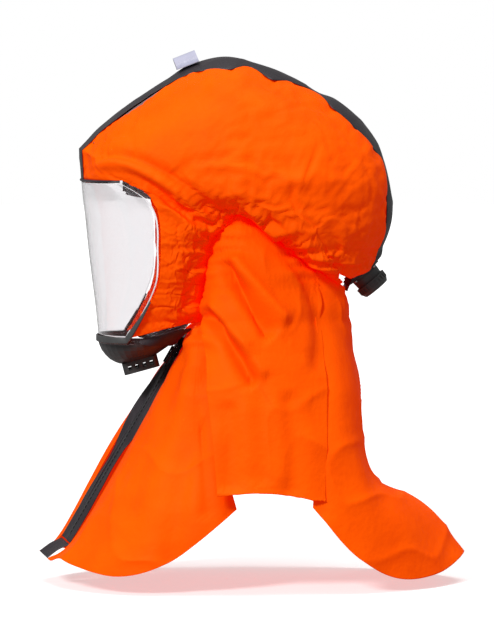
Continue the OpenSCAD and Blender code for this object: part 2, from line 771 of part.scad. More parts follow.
module rivet() {
    cylinder(r = rivet_r, h = 1.9, $fn = 32);
    translate([0, 0, 1.6]) cylinder(r1 = 3.8, r2 = 2.6, h = 1.2);
}

module strap_rivets() {
    color(grey) tilted() {
        for (a = [0, 180]) rotate(a) translate([cross_r - 0.2, 0, 0]) rotate([0, 90, 0]) rivet();
        translate([0, -long_r + 0.2, 0]) rotate([90, 0, 0]) rivet();
    }
}

// Webbing that hangs the harness from the duct liner: two flat loops
hanger = [14, 18, 14.2];
webbing_t = 1.2;

module crown_hanger() {
    foot = cross_centre + cross_r + 1.9;
    color(black) tilted() for (x = [-16, 16]) translate([x, 8, foot]) difference() {
        translate([-hanger.x / 2, -hanger.y / 2, 0]) cube(hanger);
        translate([-hanger.x / 2 - 1, -hanger.y / 2 + webbing_t, webbing_t])
            cube(hanger + [2, -2 * webbing_t, -2 * webbing_t]);
    }
}

housing_h = 26;

// Two-walled guide that both tails run through, with a bore for the pinion
module ratchet_housing() {
    wall = 1.9;
    in_r = band_r - 1.2;
    out_r = tail_out_r + tail_t + 0.4;
    color(plastic) tilted() {
        difference() {
            rear_arc(in_r, out_r + wall - in_r, housing_h, 71, 109);
            rear_arc(in_r + wall, out_r - in_r - wall, housing_h - 5, 65, 115);
            translate([0, pinion_y, 0]) rotate([-90, 0, 0]) cylinder(r = 4.05, h = 20);
        }
        translate([-9, long_r + 1.7, housing_h / 2 - e]) cube([18, 1.5, 9]);
    }
}

module nape_pad() {
    color(grey) tilted() rear_arc(band_r - 6.4, 5, housing_h + 2, 66, 114);
}

// Slotted tail of the headband: teeth along one edge of the slot, up or down
tooth_pitch = 2 * PI * pinion_r / pinion_teeth;
slot_half = 34;
slot_h = 14;

module tail(r, from, to, teeth_up) {
    s = teeth_up ? 1 : -1;
    degrees_per_mm = 180 / (PI * (r + tail_t / 2));
    reach = slot_half * degrees_per_mm;
    difference() {
        rear_arc(r, tail_t, band_h, from, to);
        translate([0, 0, -s * 0.55]) rear_arc(r - 1, tail_t + 2, slot_h, 90 - reach, 90 + reach);
    }
    for (i = [-7:7]) translate([0, band_straight, 0])
        rotate((i + 0.5) * tooth_pitch * degrees_per_mm)
            translate([-0.6, r + 0.08, s * 5.65 - 1.15]) cube([1.2, tail_t - 0.16, 2.3]);
}

module band_tail_left() { color(grey) tilted() tail(tail_in_r, 16, 126, true); }
module band_tail_right() { color(grey) tilted() tail(tail_out_r, 54, 164, false); }

module ratchet_pinion() {
    color(plastic) tilted() translate([0, pinion_y - 0.2, 0]) rotate([-90, 0, 0]) {
        cylinder(r = 3.6, h = 3.5, $fn = 48);
        for (i = [0:pinion_teeth - 1]) rotate(i * 360 / pinion_teeth + 90)
            translate([3.2, -0.6, 0]) cube([2.6, 1.2, 3.5]);
        translate([0, 0, 3.4]) cylinder(r = 4, h = 5.2, $fn = 48);
        translate([0, 0, 8.5]) cylinder(r = 3.4, h = 3, $fn = 6);
    }
}

// Fluted adjusting knob on the pinion's hexagon
module ratchet_knob() {
    knob_r = 17;
    flutes = 12;
    base = 6.6;
    color(black) tilted() translate([0, pinion_y, 0]) rotate([-90, 0, 0]) difference() {
        union() {
            translate([0, 0, base]) cylinder(r = knob_r, h = 8);
            translate([0, 0, base + 8]) cylinder(r1 = knob_r, r2 = knob_r - 2, h = 2);
        }
        translate([0, 0, base - 1]) cylinder(r = 4.2, h = 2.8);
        translate([0, 0, base]) cylinder(r = 3.5, h = 5, $fn = 6);
        translate([0, 0, base]) cylinder(r = 1.7, h = 20, $fn = 32);
        translate([0, 0, base + 7]) cylinder(r = 3.4, h = 8);
        for (i = [0:flutes - 1]) rotate(i * 360 / flutes) translate([knob_r + 2.2, 0, base - 1])
            cylinder(r = 3.6, h = 14, $fn = 32);
    }
}

module knob_screw() {
    color(grey) tilted() translate([0, pinion_y, 0]) rotate([-90, 0, 0]) {
        translate([0, 0, 11.45]) cylinder(r = 1.5, h = 3, $fn = 32);
        translate([0, 0, 13.7]) difference() {
            cylinder(r = 3, h = 1.6);
            translate([0, 0, 0.8]) cylinder(r = 1.4, h = 2, $fn = 6);
        }
    }
}

module left_and_right(side) {
    if (side > 0) children();
    else mirror([1, 0, 0]) children();
}

// ---------------------------------------------------------------- nodes

left_and_right(1) dome_panel();  // dome_panel_left
left_and_right(-1) dome_panel();  // dome_panel_right
left_and_right(1) cheek_panel();  // cheek_panel_left
left_and_right(-1) cheek_panel();  // cheek_panel_right
crown_duct_cover();
duct_spacer();
duct_liner();
brow_binding();
crown_loop();
inlet_grommet();
neck_elastic();
chin_gusset();
bib_panel(1);  // bib_panel_left
bib_panel(-1);  // bib_panel_right
left_and_right(1) shoulder_panel();  // shoulder_panel_left
left_and_right(-1) shoulder_panel();  // shoulder_panel_right
cape_back_panel();
visor_lens();
chin_rim();
chin_guard();
valve_seat();
valve_flap();
valve_cover();
chin_screws();
air_diffuser();
brow_bracket();
inlet_flange();
inlet_backing_ring();
inlet_screws();
inlet_spigot();
inlet_o_ring();
inlet_retainer();
headband();
sweatband();
crown_strap_long();
crown_strap_cross();
strap_rivets();
crown_hanger();
ratchet_housing();
nape_pad();
band_tail_left();
band_tail_right();
ratchet_pinion();
ratchet_knob();
knob_screw();
zip_facing(1);  // zip_facing_left
zip_facing(-1);  // zip_facing_right
zip_tape(1);  // zip_tape_left
zip_tape(-1);  // zip_tape_right
zip_coil();
zip_slider();
zip_pull();
zip_garage();
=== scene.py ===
"""Looks of the powered-air respirator hood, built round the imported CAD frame."""

import json
import math

import bmesh
import bpy
import numpy as np
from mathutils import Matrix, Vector


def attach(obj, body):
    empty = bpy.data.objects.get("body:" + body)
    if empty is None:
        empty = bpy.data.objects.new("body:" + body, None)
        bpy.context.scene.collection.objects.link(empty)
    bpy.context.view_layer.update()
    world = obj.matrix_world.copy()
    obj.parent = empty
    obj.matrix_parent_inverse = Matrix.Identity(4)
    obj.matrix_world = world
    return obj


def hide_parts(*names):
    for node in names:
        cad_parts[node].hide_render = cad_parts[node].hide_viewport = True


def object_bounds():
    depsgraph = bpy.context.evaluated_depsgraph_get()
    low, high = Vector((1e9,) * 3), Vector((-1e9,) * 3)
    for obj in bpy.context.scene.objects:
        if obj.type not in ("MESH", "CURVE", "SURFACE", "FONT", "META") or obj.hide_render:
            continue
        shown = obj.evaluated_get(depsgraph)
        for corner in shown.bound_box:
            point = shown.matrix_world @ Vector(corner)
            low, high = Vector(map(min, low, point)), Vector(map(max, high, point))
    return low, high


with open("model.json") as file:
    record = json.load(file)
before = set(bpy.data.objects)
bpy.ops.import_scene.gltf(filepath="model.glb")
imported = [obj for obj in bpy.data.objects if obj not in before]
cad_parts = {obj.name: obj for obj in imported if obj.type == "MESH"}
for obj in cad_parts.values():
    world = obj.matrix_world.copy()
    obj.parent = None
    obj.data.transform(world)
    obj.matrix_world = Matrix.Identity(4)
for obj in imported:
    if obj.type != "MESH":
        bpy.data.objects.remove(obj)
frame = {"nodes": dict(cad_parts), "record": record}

CAD_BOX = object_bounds()
NODES = frame["nodes"]
HOOD = "hood"
SLOT_OF = {s["node"]: s["material_slot"] for s in frame["record"]["subparts"]}
CLOTH_T = 0.0007

# ------------------------------------------------------------------ curves and grids of points


def catmull(points, t):
    """Catmull-Rom through points[0..n] along the first axis, at the parameters t."""
    p = np.asarray(points, float)
    n = len(p) - 1
    t = np.clip(np.asarray(t, float), 0, n)
    i = np.minimum(t.astype(int), n - 1)
    f = (t - i).reshape((-1,) + (1,) * (p.ndim - 1))
    a, b, c, d = p[np.maximum(i - 1, 0)], p[i], p[i + 1], p[np.minimum(i + 2, n)]
    return 0.5 * (
        2 * b + (c - a) * f + (2 * a - 5 * b + 4 * c - d) * f**2 + (3 * b - a - 3 * c + d) * f**3
    )


def resample(grid, rows, columns):
    """The grid's smooth surface at rows x columns points, evenly spaced in its parameters."""
    g = catmull(grid, np.linspace(0, len(grid) - 1, rows))
    g = catmull(g.swapaxes(0, 1), np.linspace(0, grid.shape[1] - 1, columns))
    return g.swapaxes(0, 1)


def even_line(points, count):
    """count points evenly spaced along a polyline."""
    at = np.concatenate([[0], np.cumsum(np.linalg.norm(np.diff(points, axis=0), axis=1))])
    want = np.linspace(0, at[-1], count)
    return np.stack([np.interp(want, at, points[:, k]) for k in range(points.shape[1])], axis=1)


def smoothstep(x, low=0.0, high=1.0):
    t = np.clip((x - low) / (high - low), 0, 1)
    return t * t * (3 - 2 * t)


def unit(v):
    v = np.asarray(v, float)
    return v / np.maximum(np.linalg.norm(v, axis=-1, keepdims=True), 1e-12)


def mirrored(points):
    return points * np.array([-1.0, 1.0, 1.0])


def outer_face(node, below):
    """The outer face of a CAD sheet, welded, as a bmesh: of its smooth faces, the one that
    looks away from the middle of the hood, or down."""
    bm = bmesh.new()
    bm.from_mesh(NODES[node].data)
    bmesh.ops.remove_doubles(bm, verts=bm.verts, dist=2e-5)
    bm.normal_update()
    left, best, best_score = set(bm.faces), [], -1e9
    while left:
        stack = [left.pop()]
        island, score = list(stack), 0.0
        while stack:
            face = stack.pop()
            c = face.calc_center_median()
            out = Vector((0, 0, -1)) if below else Vector((c.x, c.y - 0.02, max(c.z, 0.0)))
            score += face.calc_area() * face.normal.dot(out.normalized())
            near = {f for e in face.edges for f in e.link_faces}
            joined = {f for f in near & left if face.normal.dot(f.normal) > 0.45}
            left -= joined
            stack += joined
            island += joined
        if score > best_score:
            best, best_score = island, score
    keep = set(best)
    bmesh.ops.delete(bm, geom=[f for f in bm.faces if f not in keep], context="FACES")
    return bm


def boundary(bm):
    """The vertices round the edge of an open surface, in order."""
    start = next(v for v in bm.verts if v.is_boundary)
    loop, previous, vert = [], None, start
    while True:
        loop.append(vert)
        edges = [e for e in vert.link_edges if e.is_boundary]
        ahead = [e.other_vert(vert) for e in edges if e.other_vert(vert) is not previous]
        previous, vert = vert, ahead[0]
        if vert is start:
            return loop


def cad_grid(node, first, second, below=False):
    """The outer face of a CAD sheet as an ordered grid. first points to the corner where the
    rows start, and second to the other end of the first row."""
    bm = outer_face(node, below)
    loop = boundary(bm)
    corners = [k for k, v in enumerate(loop) if len(v.link_faces) < 3]
    if len(corners) != 4:
        raise ValueError(f"{node}: {len(corners)} corners on an edge of {len(loop)}")
    a = max(range(4), key=lambda k: loop[corners[k]].co.dot(Vector(first)))
    b = max([(a + 1) % 4, (a - 1) % 4], key=lambda k: loop[corners[k]].co.dot(Vector(second)))
    if b == (a - 1) % 4:
        loop = loop[::-1]
        corners = [len(loop) - 1 - k for k in corners]
    at, to = corners[a], corners[b]
    if to < at:
        to += len(loop)
    row = [loop[k % len(loop)] for k in range(at, to + 1)]
    used, rows = set(row), [row]
    while True:
        near = {e.other_vert(v) for v in row for e in v.link_edges} - used
        if not near:
            break
        at -= 1
        row = [loop[at % len(loop)]]
        used |= near
        near.discard(row[0])
        while near:
            step = [e.other_vert(row[-1]) for e in row[-1].link_edges]
            row.append(next(v for v in step if v in near))
            near.discard(row[-1])
        rows.append(row)
    grid = np.array([[v.co[:] for v in r] for r in rows], float)
    bm.free()
    return grid


# ------------------------------------------------------------------ noise and folds

LATTICE = np.random.default_rng(7).uniform(-1, 1, (64, 64, 64))


def field(points, wavelength, seed):
    """Smooth noise from about -1 to 1 at each point."""
    q = np.asarray(points) / wavelength + np.array([7.31, 3.17, 5.53]) * seed
    cell = np.floor(q).astype(int)
    f = q - cell
    f = f * f * (3 - 2 * f)
    total = np.zeros(len(q))
    for corner in np.ndindex(2, 2, 2):
        k = (cell + corner) % 64
        share = np.prod(np.where(np.array(corner) == 1, f, 1 - f), axis=1)
        total += share * LATTICE[k[:, 0], k[:, 1], k[:, 2]]
    return total * 1.3


def wave(s, wavelength, seed):
    """Uneven pleats along s: rounded crests with narrow valleys, from about -1 to 0.4."""
    k = np.asarray(s) / wavelength
    knots = np.random.default_rng(seed).uniform(-1, 1, (2, 512))
    at = np.mod(k / 2.7 + 200, 500)
    warp = np.interp(at, np.arange(512), knots[0])
    size = np.interp(np.mod(k / 1.9 + 100, 500), np.arange(512), knots[1])
    shape = np.abs(np.cos(math.pi * (k + 0.45 * warp)))
    return (shape**0.8 - 0.7) * (0.75 + 0.35 * size)


def nearest_on(points, line):
    """Distance to a polyline from each point, how far along it, and the signed side."""
    gap = np.linalg.norm(points[:, None] - line[None], axis=2)
    k = gap.argmin(1)
    d = gap[np.arange(len(points)), k]
    along = np.concatenate([[0], np.cumsum(np.linalg.norm(np.diff(line, axis=0), axis=1))])
    if line.shape[1] != 2:
        return d, along[k], None
    tangent = unit(np.gradient(line, axis=0))[k]
    step = points - line[k]
    side = tangent[:, 0] * step[:, 1] - tangent[:, 1] * step[:, 0]
    return np.abs(side) * 0.5 + d * 0.5, k / (len(line) - 1), side


def fold(points, knots, width, depth, lean=0.0, ends=(1.0, 1.0)):
    """Displacement of a fold drawn on the (y, z) plane through knots. A valley, and with lean a
    ridge on one side of it: above the line where lean is positive and the line runs to +y."""
    line = even_line(catmull(knots, np.linspace(0, len(knots) - 1, 60)), 60)
    d, t, side = nearest_on(points[:, 1:], line)
    w = np.interp(t, [0, 1], np.broadcast_to(width, 2))
    x = np.sign(side) * d / w
    taper = np.interp(t, [0, 0.5, 1], [ends[0], 1, ends[1]])
    taper = taper * smoothstep(t, -0.02, 0.12) * (1 - smoothstep(t, 0.88, 1.02))
    return depth * taper * np.exp(-x * x) * (1.65 * lean * x - (1 - abs(lean)))


# ------------------------------------------------------------------ cloth as a mesh


class Cloth:
    """A mesh of quads: points, faces and flat coordinates in metres."""

    def __init__(self, grid):
        rows, columns = grid.shape[:2]
        self.points = grid.reshape(-1, 3).copy()
        k = np.arange(rows * columns).reshape(rows, columns)
        quads = [k[:-1, :-1], k[1:, :-1], k[1:, 1:], k[:-1, 1:]]
        self.faces = np.stack(quads, axis=-1).reshape(-1, 4)
        across = np.linalg.norm(np.diff(grid, axis=1), axis=2).mean(0)
        down = np.linalg.norm(np.diff(grid, axis=0), axis=2).mean(1)
        u, v = np.concatenate([[0], np.cumsum(across)]), np.concatenate([[0], np.cumsum(down)])
        self.flat = np.stack(np.meshgrid(u, -v), axis=-1).reshape(-1, 2)
        self.shape = (rows, columns)

    def join(self, other, own, others):
        """Adds another cloth, whose vertices others become this one's vertices own."""
        index = np.arange(len(other.points)) + len(self.points)
        index[others] = own
        keep = np.ones(len(other.points), bool)
        keep[others] = False
        new = np.cumsum(keep) - 1 + len(self.points)
        index = np.where(keep, new, index)
        shift = self.flat[own].mean(0) - other.flat[others].mean(0)
        self.points = np.vstack([self.points, other.points[keep]])
        self.flat = np.vstack([self.flat, other.flat[keep] + shift])
        self.faces = np.vstack([self.faces, index[other.faces]])

    def normals(self):
        p = self.points
        a, b, c, d = (p[self.faces[:, k]] for k in range(4))
        face = np.cross(c - a, d - b)
        total = np.zeros_like(p)
        for k in range(4):
            np.add.at(total, self.faces[:, k], face)
        return unit(total)

    def smooth(self, weight, rounds):
        """Laplacian smoothing, by a weight for each vertex."""
        edges = np.vstack([self.faces[:, [k, (k + 1) % 4]] for k in range(4)])
        edges = np.unique(np.sort(edges, axis=1), axis=0)
        count = np.bincount(edges.ravel(), minlength=len(self.points))[:, None]
        for _ in range(rounds):
            total = np.zeros_like(self.points)
            np.add.at(total, edges[:, 0], self.points[edges[:, 1]])
            np.add.at(total, edges[:, 1], self.points[edges[:, 0]])
            self.points += 0.5 * weight[:, None] * (total / count - self.points)

    def build(self, name, material, slot, body=HOOD, thickness=CLOTH_T, flip=False):
        faces = self.faces[:, ::-1] if flip else self.faces
        o = mesh_piece(name, self.points, faces.tolist(), material, body, self.flat)
        solid = o.modifiers.new("thickness", "SOLIDIFY")
        solid.thickness, solid.offset, solid.use_even_offset = thickness, -1, False
        return o


def mesh_piece(name, points, faces, material, body=HOOD, flat=None, smooth=True):
    mesh = bpy.data.meshes.new(name)
    mesh.from_pydata([tuple(p) for p in points], [], [tuple(f) for f in faces])
    mesh.polygons.foreach_set("use_smooth", [smooth] * len(mesh.polygons))
    if flat is not None:
        uv = mesh.uv_layers.new(name="flat")
        loops = np.zeros(len(mesh.loops), np.int32)
        mesh.loops.foreach_get("vertex_index", loops)
        uv.data.foreach_set("uv", np.asarray(flat, np.float32)[loops].ravel())
    mesh.materials.append(material)
    mesh.update()
    o = bpy.data.objects.new(name, mesh)
    bpy.context.scene.collection.objects.link(o)
    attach(o, body)
    return o


def sweep(path, profile, up, closed=False):
    """Points and faces of a closed profile of (side, height) pairs, swept along a path."""
    path, profile = np.asarray(path, float), np.asarray(profile, float)
    n, m = len(path), len(profile)
    ahead = np.roll(path, -1, 0) - np.roll(path, 1, 0) if closed else np.gradient(path, axis=0)
    tangent = unit(ahead)
    side = unit(np.cross(tangent, np.broadcast_to(up, path.shape)))
    height = np.cross(side, tangent)
    points = path[:, None] + profile[None, :, :1] * side[:, None] + profile[None, :, 1:] * height[:, None]
    faces = []
    for i in range(n if closed else n - 1):
        a, b = i * m, (i + 1) % n * m
        faces += [(a + k, a + (k + 1) % m, b + (k + 1) % m, b + k) for k in range(m)]
    if not closed:
        faces += [tuple(range(m))[::-1], tuple((n - 1) * m + k for k in range(m))]
    return points.reshape(-1, 3), faces


def rounded(width, height, radius, steps=3):
    """A rectangle with rounded corners, centred."""
    out = []
    for cx, cy, start in ((1, 1, 0), (-1, 1, 90), (-1, -1, 180), (1, -1, 270)):
        for k in range(steps + 1):
            a = math.radians(start + 90 * k / steps)
            out.append(
                (
                    cx * (width / 2 - radius) + radius * math.cos(a),
                    cy * (height / 2 - radius) + radius * math.sin(a),
                )
            )
    return out


# ------------------------------------------------------------------ materials


def new_material(name, colour, rough, **sockets):
    m = bpy.data.materials.new(name)
    m.use_nodes = True
    shader = m.node_tree.nodes["Principled BSDF"]
    shader.inputs["Base Color"].default_value = (*colour, 1)
    shader.inputs["Roughness"].default_value = rough
    for key, value in sockets.items():
        shader.inputs[key.replace("_", " ")].default_value = value
    m.diffuse_color = (*colour, 1)
    return m


def node(material, kind, links=(), **values):
    """Adds a node. links are (its input, other node, the other's output); values set its
    properties, or its inputs where the name is one of them."""
    n = material.node_tree.nodes.new(kind)
    for key, value in values.items():
        if hasattr(n, key):
            setattr(n, key, value)
        else:
            n.inputs[key.replace("_", " ")].default_value = value
    for own, other, output in links:
        material.node_tree.links.new(n.inputs[own], other.outputs[output])
    return n


def feed(material, socket, source, output):
    shader = material.node_tree.nodes["Principled BSDF"]
    material.node_tree.links.new(shader.inputs[socket], source.outputs[output])


def stretch(material, source, scale):
    """The coordinates scaled by (x, y, z)."""
    kind = "UV" if source == "UV" else "Object"
    coordinates = node(material, "ShaderNodeTexCoord")
    return node(material, "ShaderNodeMapping", [("Vector", coordinates, kind)], Scale=scale)


def vary_colour(material, colours, scale, low=0.35, high=0.65):
    """Mottles the colour between two, in soft patches scale metres across."""
    at = stretch(material, "Object", (1 / scale,) * 3)
    cloud = node(material, "ShaderNodeTexNoise", [("Vector", at, "Vector")], Scale=1.0, Detail=4.0)
    ramp = node(material, "ShaderNodeValToRGB", [("Fac", cloud, "Fac")])
    ramp.color_ramp.elements[0].position, ramp.color_ramp.elements[1].position = low, high
    for element, colour in zip(ramp.color_ramp.elements, colours):
        element.color = (*colour, 1)
    feed(material, "Base Color", ramp, "Color")


def vary_rough(material, low, high, scale):
    at = stretch(material, "Object", (1 / scale,) * 3)
    cloud = node(material, "ShaderNodeTexNoise", [("Vector", at, "Vector")], Scale=1.0, Detail=3.0)
    span = node(material, "ShaderNodeMapRange", [("Value", cloud, "Fac")], From_Min=0.3, From_Max=0.7)
    span.inputs["To Min"].default_value = low
    span.inputs["To Max"].default_value = high
    feed(material, "Roughness", span, "Result")


def add_bump(material, source, output, distance, strength=1.0):
    """Stacks one more bump on the material's normal."""
    shader = material.node_tree.nodes["Principled BSDF"]
    before = shader.inputs["Normal"].links
    height = [("Height", source, output)]
    bump = node(material, "ShaderNodeBump", height, Distance=distance, Strength=strength)
    if before:
        material.node_tree.links.new(bump.inputs["Normal"], before[0].from_socket)
    feed(material, "Normal", bump, "Normal")


def weave(material, pitch, distance):
    """Plain weave in the flat coordinates: threads that cross, pitch metres apart."""
    at = stretch(material, "UV", (1 / pitch,) * 3)
    bands = []
    for direction in ("X", "Y"):
        bands.append(
            node(
                material,
                "ShaderNodeTexWave",
                [("Vector", at, "Vector")],
                wave_type="BANDS",
                bands_direction=direction,
                Scale=0.159,
                Distortion=0.4,
                Detail=1.0,
            )
        )
    threads = [(0, bands[0], "Fac"), (1, bands[1], "Fac")]
    both = node(material, "ShaderNodeMath", threads, operation="MAXIMUM")
    add_bump(material, both, "Value", distance)


def crinkle(material, scale, distance, detail=3.0):
    """Soft dents in a coated cloth."""
    at = stretch(material, "Object", (1 / scale,) * 3)
    cloud = node(
        material, "ShaderNodeTexNoise", [("Vector", at, "Vector")], Scale=1.0, Detail=detail, Roughness=0.45
    )
    add_bump(material, cloud, "Fac", distance)


def grain(material, scale, distance):
    """Fine spark-eroded grain of moulded plastic."""
    at = stretch(material, "Object", (1 / scale,) * 3)
    cells = node(material, "ShaderNodeTexVoronoi", [("Vector", at, "Vector")], Scale=1.0)
    add_bump(material, cells, "Distance", distance)


def cloth_material(name, colours, rough, pitch, sheen=0.0, gloss=0.3):
    m = new_material(name, colours[0], rough, Sheen_Weight=sheen, Specular_IOR_Level=gloss)
    vary_colour(m, colours, 0.05)
    vary_rough(m, rough - 0.06, rough + 0.08, 0.03)
    weave(m, pitch, 0.00006)
    crinkle(m, 0.007, 0.0006)
    return m


def plastic_material(name, colours, rough, grain_size=0.0006):
    m = new_material(name, colours[0], rough)
    vary_colour(m, colours, 0.02)
    vary_rough(m, rough - 0.05, rough + 0.1, 0.006)
    grain(m, grain_size, 0.00004)
    return m


def lens_material(name):
    m = new_material(name, (0.82, 0.81, 0.82), 0.03, Transmission_Weight=1.0, IOR=1.25)
    vary_rough(m, 0.02, 0.06, 0.02)
    return m


# Each material's maker, and what it is told after the name: two colours, roughness, and then
# thread pitch, sheen and specular level for cloth, or grain size for plastic
LOOKS = {
    "fabric_orange": (cloth_material, [(0.64, 0.086, 0.0), (0.70, 0.100, 0.0)], 0.62, 0.0007, 0.0, 0.03),
    "fabric_black": (cloth_material, [(0.020, 0.016, 0.020), (0.030, 0.025, 0.029)], 0.42, 0.0006),
    "duct_mesh": (cloth_material, [(0.2, 0.2, 0.21), (0.3, 0.3, 0.31)], 0.7, 0.004),
    "reflective_ribbon": (cloth_material, [(0.36, 0.36, 0.46), (0.44, 0.44, 0.54)], 0.35, 0.0009),
    "elastic_black": (cloth_material, [(0.02, 0.02, 0.022), (0.04, 0.04, 0.043)], 0.7, 0.0009, 0.3),
    "lens_clear": (lens_material,),
    "plastic_black": (plastic_material, [(0.024, 0.024, 0.025), (0.032, 0.031, 0.031)], 0.42),
    "plastic_grey": (plastic_material, [(0.05, 0.05, 0.05), (0.06, 0.06, 0.06)], 0.45),
    "band_plastic": (plastic_material, [(0.05, 0.05, 0.052), (0.06, 0.06, 0.063)], 0.4),
    "rubber_black": (plastic_material, [(0.03, 0.029, 0.027), (0.042, 0.04, 0.037)], 0.62),
    "flap_silicone": (plastic_material, [(0.3, 0.3, 0.3), (0.36, 0.36, 0.36)], 0.5),
    "foam_grey": (cloth_material, [(0.13, 0.13, 0.14), (0.18, 0.18, 0.19)], 0.85, 0.0011, 0.4),
    "webbing_black": (cloth_material, [(0.018, 0.018, 0.02), (0.035, 0.035, 0.037)], 0.65, 0.0012, 0.2),
    "zip_plastic": (plastic_material, [(0.02, 0.02, 0.021), (0.03, 0.03, 0.031)], 0.33),
    "steel": (plastic_material, [(0.5, 0.5, 0.5), (0.56, 0.56, 0.56)], 0.3, 0.002),
}
PALETTE = {name: make(name, *look) for name, (make, *look) in LOOKS.items()}
RED_SHADE_GLOW = 0.36  # painted shade: a red glow on the orange cloth that keeps its shaded folds bright red
# Painted shade: the orange cloth gives off a constant red light, so its folds and creases show red where
# they lie in shade
shade_glow_shader = PALETTE["fabric_orange"].node_tree.nodes["Principled BSDF"]
shade_glow_shader.inputs["Emission Color"].default_value = (1, 0.0, 0.0, 1)
shade_glow_shader.inputs["Emission Strength"].default_value = RED_SHADE_GLOW
PALETTE["steel"].node_tree.nodes["Principled BSDF"].inputs["Metallic"].default_value = 1.0

# ------------------------------------------------------------------ the hood's shape

# Stations of the dome as in the CAD source, in metres: crown (y, z), half width, widest level
# (y, z) and lower seam (x, y, z), from the brow to the nape
DOME = np.array(
    [
        [-146, 18, 98, -104, 18, 101, -95, 14],
        [-148, 50, 103, -98, 25, 104, -80, 8],
        [-121, 76, 112, -75, 24, 105, -58, 1],
        [-85, 103, 119, -45, 20, 101, -32, -5],
        [-40, 131, 123, -15, 15, 95, -6, -11],
        [9, 144, 125, 15, 10, 88, 19, -16],
        [60, 131, 125, 45, 2, 86, 38, -27],
        [110, 108, 123, 70, -8, 82, 62, -44],
        [150, 80, 119, 88, -20, 77, 79, -57],
        [176, 43, 113, 100, -32, 70, 93, -68],
        [185, -5, 104, 108, -45, 66, 106, -78],
        [181, -42, 92, 113, -58, 58, 117, -85],
        [167, -70, 78, 118, -70, 48, 127, -91],
        [146, -90, 60, 124, -82, 41, 135, -95],
    ]
) * 0.001
EAR = 5
NAPE = len(DOME) - 1


def dome_stations(t):
    """The dome's values at stations t: smooth, but with a sharp bend at the brow."""
    smooth = catmull(DOME, t)
    straight = np.stack([np.interp(t, np.arange(NAPE + 1), column) for column in DOME.T], axis=-1)
    share = (1 - smoothstep(t, 1.3, 2.2))[..., None]
    return smooth + (straight - smooth) * share


# The black crown strip: station, half width in mm, height of its arch in mm
STRIP = np.array(
    [
        [0, 36, -0.8], [1, 34, -0.6], [2, 34, 0.4], [3, 31, 0.4], [3.7, 31, 0.4], [4.2, 31, 3.8],
        [4.45, 38, 3.5], [5.05, 46, 4], [5.5, 26, 3.5], [5.95, 46, 4], [6.4, 26, 3],
        [6.95, 17, 0.8], [7.35, 42, 3.8], [8, 45, 3.6], [8.7, 38, 3.2], [9.15, 23, 1.6],
        [10.3, 38, 3.2], [11.5, 30, 1.5], [12.2, 32, 0.5], [13, 34, 0],
    ]
)


def strip_value(t, column):
    """A column of the strip's table at stations t, eased between its rows, in metres."""
    row = np.clip(np.searchsorted(STRIP[:, 0], t, side="right") - 1, 0, len(STRIP) - 2)
    ease = smoothstep(t, STRIP[row, 0], STRIP[row + 1, 0])
    return (STRIP[row, column] + (STRIP[row + 1, column] - STRIP[row, column]) * ease) * 0.001


def strip_half(t, side):
    """Half width of the crown strip at stations t, on the left or the right."""
    return strip_value(np.asarray(t) + (0 if side > 0 else 0.3), 1)


def crown_points(t, x):
    """Points of the crown at stations t and distances x from the middle."""
    d = dome_stations(t)
    a = np.arcsin(x / d[:, 2])[:, None]
    return np.hstack([x[:, None], d[:, 3:5] + (d[:, 0:2] - d[:, 3:5]) * np.cos(a)])


def crown_out(t):
    d = dome_stations(t)
    way = d[:, 0:2] - d[:, 3:5]
    return unit(np.hstack([np.zeros((len(t), 1)), way]))


def dome_points(t, f, side=1):
    """Points of the left dome at stations t and shares f: 0 is the crown seam, 1 the lower one."""
    d = dome_stations(t)
    turn = 0.62
    first = np.arcsin((strip_half(t, side) - 0.004) / d[:, 2])
    a = (first + (math.pi / 2 - first) * np.minimum(f / turn, 1))[:, None]
    b = (math.pi / 2 * np.clip((f - turn) / (1 - turn), 0, 1))[:, None]
    wide = np.hstack([d[:, 2:3], d[:, 3:5]])
    top = np.hstack([d[:, 2:3] * np.sin(a), d[:, 3:5] + (d[:, 0:2] - d[:, 3:5]) * np.cos(a)])
    seam = d[:, 5:8]
    low_x = seam[:, :1] + (wide[:, :1] - seam[:, :1]) * np.cos(b)
    low_yz = wide[:, 1:] + (seam[:, 1:] - wide[:, 1:]) * np.sin(b)
    return np.where((f <= turn)[:, None], top, np.hstack([low_x, low_yz]))


def dome_grid(rows, columns, side):
    t, f = np.meshgrid(np.linspace(0, NAPE, rows), np.linspace(0, 1, columns), indexing="ij")
    return dome_points(t.ravel(), f.ravel(), side).reshape(rows, columns, 3)


CHEEK = cad_grid("cheek_panel_left", (0, -1, 1), (0, 1, 0))
SHOULDER = cad_grid("shoulder_panel_left", (0, -1, 1), (0, 1, 0))
BACK = cad_grid("cape_back_panel", (1, -1, 1), (-1, -1, 0))
LENS = cad_grid("visor_lens", (1, 0, 1), (-1, 0, 0))
GUSSET = cad_grid("chin_gusset", (1, -1, 0), (-1, -1, 0), below=True)

# The gathered seam on the left, from the chin up to the ear and back to the nape
lower_seam = dome_points(np.linspace(EAR, NAPE, 60), np.ones(60))
GATHER = np.vstack([catmull(CHEEK[::-1, -1], np.linspace(0, 12, 60)), lower_seam[1:]])
GATHER = np.vstack([even_line(GATHER, 220), [[0.02, 0.137, -0.101], [0.0, 0.138, -0.102]]])


def out_of(points):
    """Level direction out of the hood at each point."""
    way = np.stack([points[:, 0], (points[:, 1] - 0.03) * 0.6, np.zeros(len(points))], axis=1)
    return unit(way)


